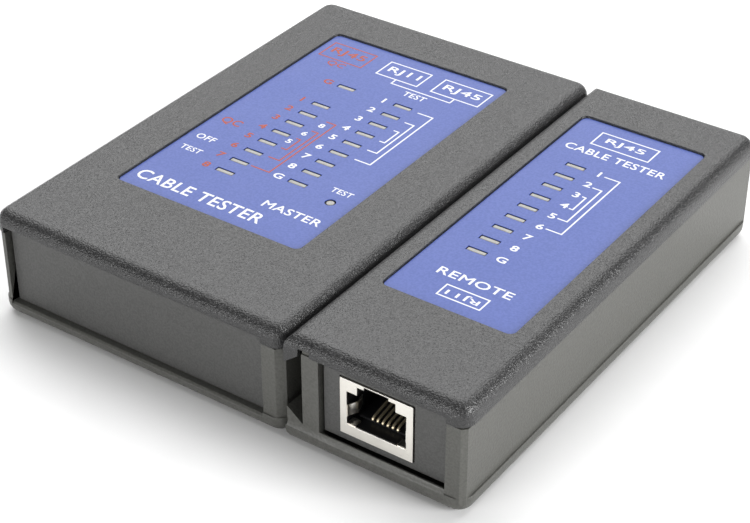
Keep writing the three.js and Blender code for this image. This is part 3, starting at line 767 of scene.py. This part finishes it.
def copies_at_places():
    """Repeats the modifier's own shape at the points of another object."""
    tree, given, result = node_group(
        "copies_at_places", "GeometryNodeTree",
        [("Geometry", "NodeSocketGeometry", None), ("Places", "NodeSocketObject", None),
         ("Material", "NodeSocketMaterial", None)],
        [("Geometry", "NodeSocketGeometry")],
    )
    places = add_node(tree, "GeometryNodeObjectInfo", {"Object": given.outputs["Places"]})
    copies = add_node(tree, "GeometryNodeInstanceOnPoints", {
        "Points": places.outputs["Geometry"], "Instance": given.outputs["Geometry"],
    })
    real = add_node(tree, "GeometryNodeRealizeInstances", {"Geometry": copies.outputs["Instances"]})
    finished = add_node(tree, "GeometryNodeSetMaterial", {
        "Geometry": real.outputs["Geometry"], "Material": given.outputs["Material"],
    })
    tree.links.new(finished.outputs["Geometry"], result.inputs["Geometry"])
    return tree


def cross_loop(arm, half_width):
    """The twelve corners of a cross, anticlockwise."""
    quarter = [(arm, -half_width), (arm, half_width), (half_width, half_width)]
    points = []
    for turn in range(4):
        angle = turn * math.pi / 2
        points += [(x * math.cos(angle) - y * math.sin(angle), x * math.sin(angle) + y * math.cos(angle))
                   for x, y in quarter]
    return points


def pan_head_screw(name, radius, shank, bottom, head_top, tip):
    """A screw with its head down: the recess opens on the underside, and the shank has a thread."""
    sides = 32
    form = bmesh.new()

    def ring(r, z):
        turns = [step / sides * math.tau for step in range(sides)]
        return [form.verts.new((r * math.cos(turn), r * math.sin(turn), z)) for turn in turns]

    def wall(lower, upper):
        for index in range(len(lower)):
            following = (index + 1) % len(lower)
            form.faces.new((lower[index], lower[following], upper[following], upper[index]))

    rounding = [(radius * math.cos(turn), bottom + 0.6 * mm * (1 - math.sin(turn)))
                for turn in (math.pi / 2 * step / 5 for step in range(5))]
    crown = [ring(radius, head_top)] + [ring(r, z) for r, z in rounding]
    for upper, lower in zip(crown, crown[1:]):
        wall(lower, upper)
    mouth = [form.verts.new((x, y, bottom + 0.02 * mm)) for x, y in cross_loop(1.45 * mm, 0.30 * mm)]
    floor = [form.verts.new((x, y, bottom + 1.1 * mm)) for x, y in cross_loop(0.75 * mm, 0.20 * mm)]
    rim = []
    for loop in (crown[-1], mouth):
        for index, start in enumerate(loop):
            finish = loop[(index + 1) % len(loop)]
            rim.append(form.edges.get((start, finish)) or form.edges.new((start, finish)))
    bmesh.ops.triangle_fill(form, use_beauty=True, use_dissolve=False, edges=rim)
    wall(mouth, floor)
    form.faces.new(floor)
    threads = 9
    root = shank - 0.18 * mm
    pitch = (tip - 1.5 * mm - head_top) / threads
    column = [crown[0]]
    for turn in range(threads):
        column.append(ring(root, head_top + (turn + 0.1) * pitch))
        column.append(ring(shank, head_top + (turn + 0.5) * pitch))
        column.append(ring(root, head_top + (turn + 0.9) * pitch))
    column.append(ring(0.15 * mm, tip))
    for lower, upper in zip(column, column[1:]):
        wall(lower, upper)
    form.faces.new(column[-1])
    bmesh.ops.recalc_face_normals(form, faces=form.faces)
    return smoothed(mesh_of(form, name), 40)


zinc_steel = plated_sheet("zinc_steel", (0.56, 0.57, 0.58), 0.34, 0.08)
places_tree = copies_at_places()
for unit in ("master", "remote"):
    nodes = [f"{unit}_screw_{number}" for number in range(1, 5)]
    corners = [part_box(node) for node in nodes]
    spots = bpy.data.meshes.new(unit + "_screw_spots")
    spots.from_pydata([((low.x + high.x) / 2, (low.y + high.y) / 2, 0) for low, high in corners], [], [])
    marker = linked(unit + "_screw_spots", spots)
    low, high = corners[0]
    screw = pan_head_screw(unit + "_screws", (high.x - low.x) / 2, 1.2 * mm, low.z, low.z + 1.8 * mm, high.z)
    screws = repeated(unit + "_screws", screw, places_tree, Places=marker, Material=zinc_steel)
    bpy.data.objects.remove(marker)
    fit(screws, *nodes)


# ---------------------------------------------------------------- Slide switch
# A three-position switch: a folded steel frame behind the wall, and a black slider with a ribbed knob.

switch_steel = plated_sheet("switch_steel", (0.60, 0.60, 0.58), 0.38, 0.10)
switch_black = grained_plastic("switch_black", (0.010, 0.010, 0.011), (0.016, 0.016, 0.017),
                               0.46, 0.25 * mm, 0.015 * mm)
moulded("switch_frame", 0.08 * mm, switch_steel)
moulded("switch_slider", 0.10 * mm, switch_black)


# ---------------------------------------------------------------- Battery, snap and leads
# A 9 V block in a printed steel jacket, a vinyl covered snap on its studs, and two stranded leads
# in PVC to the board.

stud_height = 2.3 * mm
pale_band = 13 * mm


def battery_jacket(name):
    """A dark printed jacket with a pale band at the stud end, and bare plated studs."""
    material, tree, shader = new_material(name)
    stud_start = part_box("battery")[1].x - stud_height
    place = object_place(tree)
    spot = add_node(tree, "ShaderNodeSeparateXYZ", {"Vector": place})

    def beyond(x):
        compared = {0: spot.outputs["X"], 1: x}
        return add_node(tree, "ShaderNodeMath", compared, operation="GREATER_THAN").outputs[0]

    bare = beyond(stud_start)
    jacket = mixed(tree, beyond(stud_start - pale_band), (0.035, 0.050, 0.085, 1), (0.42, 0.43, 0.44, 1))
    whole = mixed(tree, bare, jacket, (0.70, 0.69, 0.66, 1))
    noise = {"Vector": place, "Scale": 700.0, "Detail": 5.0}
    scratches = add_node(tree, "ShaderNodeTexNoise", noise).outputs["Fac"]
    tree.links.new(bare, shader.inputs["Metallic"])
    finish_surface(tree, shader, whole, spread(tree, scratches, 0.24, 0.42), relief(tree, scratches, 0.01 * mm))
    return material


snap_vinyl = grained_plastic("snap_vinyl", (0.010, 0.010, 0.010), (0.018, 0.018, 0.018),
                             0.55, 0.45 * mm, 0.03 * mm)
red_pvc = grained_plastic("red_pvc", (0.40, 0.020, 0.012), (0.50, 0.030, 0.018), 0.40, 0.6 * mm, 0.008 * mm)
black_pvc = grained_plastic("black_pvc", (0.012, 0.012, 0.012), (0.020, 0.020, 0.020),
                            0.40, 0.6 * mm, 0.008 * mm)
moulded("battery", 0.15 * mm, battery_jacket("battery_jacket"))
moulded("battery_snap", 0.40 * mm, snap_vinyl)
moulded("battery_lead_positive", 0.05 * mm, red_pvc)
moulded("battery_lead_negative", 0.05 * mm, black_pvc)


# ---------------------------------------------------------------- Circuit boards
# Single-sided boards with green solder mask over copper tracks. The master's carries a counter
# and a clock chip in epoxy, and the capacitor that sets the pace of the lamps.

def solder_mask(name):
    """Green varnish, lighter and raised where a track runs under it."""
    material, tree, shader = new_material(name, Coat_Weight=0.3, Coat_Roughness=0.2)
    place = object_place(tree)
    tracks = add_node(tree, "ShaderNodeTexBrick", {
        "Vector": place, "Scale": 260.0, "Mortar Size": 0.12, "Mortar Smooth": 0.1, "Brick Width": 1.7,
        "Row Height": 0.45,
    }, offset=0.37, offset_frequency=3)
    tracks.inputs["Color1"].default_value = (0.012, 0.095, 0.035, 1)
    tracks.inputs["Color2"].default_value = (0.014, 0.110, 0.040, 1)
    tracks.inputs["Mortar"].default_value = (0.035, 0.200, 0.070, 1)
    cloth = add_node(tree, "ShaderNodeTexNoise", {"Vector": place, "Scale": 1800.0, "Detail": 2.0})
    gloss = spread(tree, cloth.outputs["Fac"], 0.30, 0.45)
    finish_surface(tree, shader, tracks.outputs["Color"], gloss, relief(tree, tracks.outputs["Fac"], 0.03 * mm))
    return material


green_mask = solder_mask("green_solder_mask")
chip_epoxy = grained_plastic("chip_epoxy", (0.012, 0.012, 0.013), (0.020, 0.020, 0.021),
                             0.55, 0.2 * mm, 0.01 * mm)
capacitor_sleeve = grained_plastic("capacitor_sleeve", (0.012, 0.020, 0.055), (0.016, 0.026, 0.065),
                                   0.30, 0.8 * mm, 0.006 * mm)
moulded("master_board", 0.05 * mm, green_mask)
moulded("remote_board", 0.05 * mm, green_mask)
moulded("counter_chip", 0.15 * mm, chip_epoxy)
moulded("clock_chip", 0.15 * mm, chip_epoxy)
moulded("timing_capacitor", 0.25 * mm, capacitor_sleeve)

tin_lead = plated_sheet("tinned_leads", (0.75, 0.74, 0.71), 0.30, 0.06)
pin_pitch = 2.54 * mm
pin_levels = ((0.25, 1.6), (0.25, 2.9), (0.6, 3.1), (0.6, 4.15))


def chip_pin(name, x, y, bottom):
    """A pin, narrow below and wide above, whose levels are half widths and heights in millimetres."""
    rings = []
    for half_width, height in pin_levels:
        loop = rounded_loop(half_width * mm, 0.13 * mm, 0.08 * mm, 2)
        rings.append([(x + across, y + along, bottom + height * mm) for across, along in loop])
    return stacked(name, rings)


for chip in ("counter_chip", "clock_chip"):
    low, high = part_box(chip)
    count = int((high.x - low.x) / pin_pitch)
    first = (low.x + high.x) / 2 - (count - 1) / 2 * pin_pitch
    for side, y in (("near", low.y - 0.30 * mm), ("far", high.y + 0.30 * mm)):
        name = f"{chip}_{side}_pins"
        pin = chip_pin(name, first, y, low.z)
        pins = repeated(name, pin, row, Step=(pin_pitch, 0, 0), Count=count, Material=tin_lead)
        added_to(pins, chip)


# ---------------------------------------------------------------- Floor, light and camera
# A pale sweep under large soft lights, seen from above the remote's near corner.

def pale_floor():
    """Matt paper with a barely visible cloudiness."""
    material, tree, shader = new_material("pale_floor")
    fibres = add_node(tree, "ShaderNodeTexNoise", {"Vector": object_place(tree), "Scale": 90.0, "Detail": 3.0})
    tree.links.new(spread(tree, fibres.outputs["Fac"], 0.86, 0.90), shader.inputs["Base Color"])
    shader.inputs["Roughness"].default_value = 0.85
    return material


floor_shape = bpy.data.meshes.new("floor")
floor_reach = 4.0
floor_shape.from_pydata(
    [(-floor_reach, -floor_reach, 0), (floor_reach, -floor_reach, 0),
     (floor_reach, floor_reach, 0), (-floor_reach, floor_reach, 0)], [], [(0, 1, 2, 3)])
floor_shape.transform(Matrix.Translation((0, 0, cad_box[0].z - 0.02 * mm)))
floor_shape.materials.append(pale_floor())
floor = linked("floor", floor_shape)

centre = (cad_box[0] + cad_box[1]) / 2


def towards(azimuth, elevation):
    """A direction, where azimuth 0 comes from -Y and 90 from +X, in degrees."""
    around, above = math.radians(azimuth), math.radians(elevation)
    return Vector((math.sin(around) * math.cos(above), -math.cos(around) * math.cos(above), math.sin(above)))


def soft_light(name, azimuth, elevation, distance, width, height, power):
    light = bpy.data.lights.new(name, "AREA")
    light.shape = "RECTANGLE"
    light.size = width
    light.size_y = height
    light.energy = power
    lamp = bpy.data.objects.new(name, light)
    bpy.context.scene.collection.objects.link(lamp)
    lamp.location = centre + towards(azimuth, elevation) * distance
    lamp.rotation_euler = towards(azimuth, elevation).to_track_quat("Z", "Y").to_euler()


soft_light("overhead_softbox", azimuth=212, elevation=52, distance=1.0, width=1.5, height=1.4, power=20)
soft_light("right_softbox", azimuth=97, elevation=18, distance=1.2, width=0.6, height=0.5, power=17)
soft_light("front_softbox", azimuth=352, elevation=14, distance=1.2, width=0.9, height=0.3, power=8.5)

world = bpy.data.worlds.new("studio")
bpy.context.scene.world = world
world.use_nodes = True
world.node_tree.nodes["Background"].inputs["Color"].default_value = (1, 1, 1, 1)
world.node_tree.nodes["Background"].inputs["Strength"].default_value = 0.13
bpy.context.scene.view_settings.view_transform = "Standard"

stand_azimuth = 34.5
stand_elevation = 33.0
aim_azimuth = 34.9
aim_elevation = 34.2
camera_distance = 371 * mm
camera = bpy.data.cameras.new("camera")
camera.lens = 92.8
camera.sensor_width = 36
camera.dof.use_dof = False
viewpoint = bpy.data.objects.new("camera", camera)
bpy.context.scene.collection.objects.link(viewpoint)
viewpoint.location = centre + towards(stand_azimuth, stand_elevation) * camera_distance
viewpoint.rotation_euler = towards(aim_azimuth, aim_elevation).to_track_quat("Z", "Y").to_euler()
bpy.context.scene.camera = viewpoint
